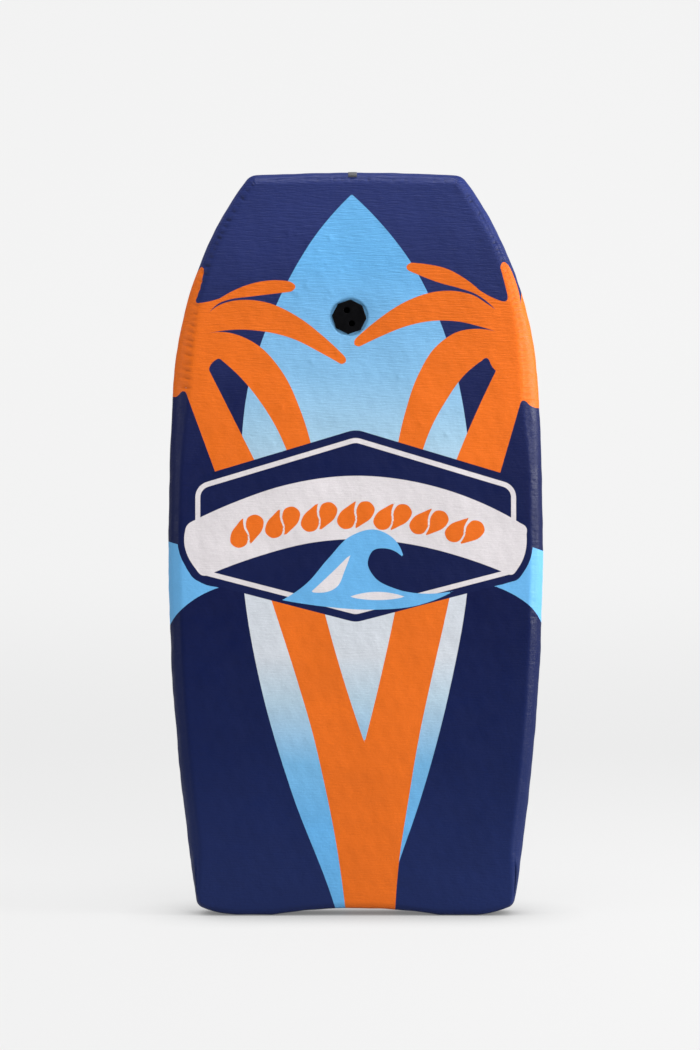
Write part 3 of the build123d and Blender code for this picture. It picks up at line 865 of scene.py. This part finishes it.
tab = add_mesh("nose_tab_tape", tab_points.reshape(-1, 3), tab_faces)
thick = tab.modifiers.new("tape_thickness", "SOLIDIFY")
thick.thickness, thick.offset = TAPE_THICKNESS, 0.0
tape, weave, tape_surface = new_material("woven_tape", 0.8, Sheen_Weight=0.3)
where = add_node(weave, "TexCoord").outputs["Object"]
thread_waves = {"Vector": where, "Scale": 420.0, "Distortion": 0.6}
warp = add_node(weave, "TexWave", thread_waves, bands_direction="X").outputs["Fac"]
weft = add_node(weave, "TexWave", thread_waves, bands_direction="DIAGONAL").outputs["Fac"]
threads = worked(weave, "MULTIPLY", warp, weft)
weave.links.new(mixed(weave, threads, TAPE_DARK, TAPE_PALE), tape_surface.inputs["Base Color"])
raised(weave, tape_surface, threads, 0.0002, 0.8)
tab.data.materials.append(tape)
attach(tab, "board")
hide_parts("nose_tab")

# Leash plug ------------------------------------------------------------------------------------
# Two black nylon mouldings screwed together through the board: an eight-sided head with two cord
# holes on the deck, whose plate and stem are two nodes, and a nut with a coin slot at the back.
# Moulding leaves a fine satin grain.

NYLON_BLACK = (0.0012, 0.0012, 0.0016, 1)


def moulded(name, colour, roughness):
    """Black moulded plastic with a fine grain and slightly uneven gloss."""
    made, tree, surface = new_material(name, roughness, Specular_IOR_Level=0.05)
    blotch = ranged(tree, speckled(tree, 120.0, 3.0), 0.3, 0.7, shape="LINEAR")
    paler = tuple(2.2 * part for part in colour[:3]) + (1,)
    tree.links.new(mixed(tree, blotch, colour, paler), surface.inputs["Base Color"])
    gloss = ranged(tree, speckled(tree, 300.0, 3.0), 0.3, 0.7, roughness - 0.08, roughness + 0.12, "LINEAR")
    tree.links.new(gloss, surface.inputs["Roughness"])
    raised(tree, surface, speckled(tree, 1800.0, 3.0), 0.00006, 0.6)
    return made


for part, gloss in (("leash_plug_head", 0.42), ("leash_plug_stem", 0.42), ("leash_plug_nut", 0.46)):
    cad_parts[part].data.materials.clear()
    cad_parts[part].data.materials.append(moulded(part + "_nylon", NYLON_BLACK, gloss))

# Floor, light and camera -----------------------------------------------------------------------
# A pale studio sweep that curves up behind the board and glows evenly, except where its glow is dimmed
# near the board as a painted contact shadow, four soft lights (in front, strong on the right, above,
# weak on the left), and a level camera three metres from the deck.

FLOOR_FRONT, FLOOR_BACK, FLOOR_HALF = -4.5, 2.2, 5.0
SWEEP_RADIUS, SWEEP_TOP, SWEEP_POINTS = 1.0, 4.0, 24
FLOOR_GLOW, WALL_GLOW, GLOW_RISE = 0.76, 0.815, 0.4
SHADOW_REACH = 0.10
WORLD_STRENGTH = 0.12
sweep = [(FLOOR_FRONT, 0.0)]
for turn in np.linspace(0, math.pi / 2, SWEEP_POINTS):
    sweep.append((FLOOR_BACK + SWEEP_RADIUS * math.sin(turn), SWEEP_RADIUS * (1 - math.cos(turn))))
sweep.append((FLOOR_BACK + SWEEP_RADIUS, SWEEP_TOP))
floor_mesh = bpy.data.meshes.new("studio_sweep")
floor_points = [(x, y, z) for y, z in sweep for x in (-FLOOR_HALF, FLOOR_HALF)]
floor_faces = [(2 * i, 2 * i + 1, 2 * i + 3, 2 * i + 2) for i in range(len(sweep) - 1)]
floor_mesh.from_pydata(floor_points, [], floor_faces)
floor_mesh.polygons.foreach_set("use_smooth", [True] * len(floor_faces))
floor = bpy.data.objects.new("studio_sweep", floor_mesh)
bpy.context.scene.collection.objects.link(floor)
paper, paper_nodes, paper_surface = new_material("pale_paper", 0.9, Specular_IOR_Level=0.0)
paper_surface.inputs["Base Color"].default_value = (0.10, 0.10, 0.10, 1)
open_sky = add_node(paper_nodes, "AmbientOcclusion", {"Distance": SHADOW_REACH}, samples=8).outputs["AO"]
where = add_node(paper_nodes, "TexCoord").outputs["Object"]
above_floor = add_node(paper_nodes, "SeparateXYZ", {0: where}).outputs[2]
full_glow = ranged(paper_nodes, above_floor, 0.0, GLOW_RISE, FLOOR_GLOW, WALL_GLOW)
# Painted contact shadow: the glow falls to about a fifth where the board hides the open sky close by.
painted_contact_shadow = ranged(paper_nodes, open_sky, 0.1, 0.95, 0.22, 1.0, "LINEAR")
glow = worked(paper_nodes, "MULTIPLY", full_glow, painted_contact_shadow)
paper_surface.inputs["Emission Color"].default_value = (1, 1, 1, 1)
paper_nodes.links.new(glow, paper_surface.inputs["Emission Strength"])
floor_mesh.materials.append(paper)

world = bpy.data.worlds.new("studio")
bpy.context.scene.world = world
world.use_nodes = True
world.node_tree.nodes["Background"].inputs["Color"].default_value = (1, 1, 1, 1)
world.node_tree.nodes["Background"].inputs["Strength"].default_value = WORLD_STRENGTH
bpy.context.scene.view_settings.view_transform = "Standard"


def soft_light(name, place, aim, size, watts):
    """A square soft light that points at aim."""
    lamp = bpy.data.lights.new(name, "AREA")
    lamp.shape, lamp.size, lamp.energy = "SQUARE", size, watts
    made = bpy.data.objects.new(name, lamp)
    made.location = place
    made.rotation_euler = (Vector(aim) - Vector(place)).to_track_quat("-Z", "Y").to_euler()
    bpy.context.scene.collection.objects.link(made)


soft_light("front_light", place=(1.2, -3.1, 2.4), aim=(0, 0, 0.45), size=1.4, watts=46.0)
soft_light("side_light", place=(2.5, -0.5, 1.0), aim=(0, 0, 0.5), size=0.9, watts=86.0)
soft_light("top_light", place=(0.1, -0.45, 2.6), aim=(0, 0, 0.7), size=0.9, watts=38.0)
soft_light("left_light", place=(-2.4, -0.8, 1.0), aim=(0, 0, 0.5), size=0.8, watts=12.0)

CAMERA_X, CAMERA_Z, CAMERA_DISTANCE = -0.0071, 0.4876, 3.0
VIEW_HEIGHT = 1.3094
deck_plane = (middle_y - HALF_THICKNESS) * MM
camera_data = bpy.data.cameras.new("camera")
camera_data.sensor_fit = "VERTICAL"
camera_data.angle = 2 * math.atan(VIEW_HEIGHT / 2 / CAMERA_DISTANCE)
camera = bpy.data.objects.new("camera", camera_data)
camera.location = (CAMERA_X, deck_plane - CAMERA_DISTANCE, CAMERA_Z)
camera.rotation_euler = (math.pi / 2, 0, 0)
bpy.context.scene.collection.objects.link(camera)
bpy.context.scene.camera = camera

bpy.context.view_layer.update()
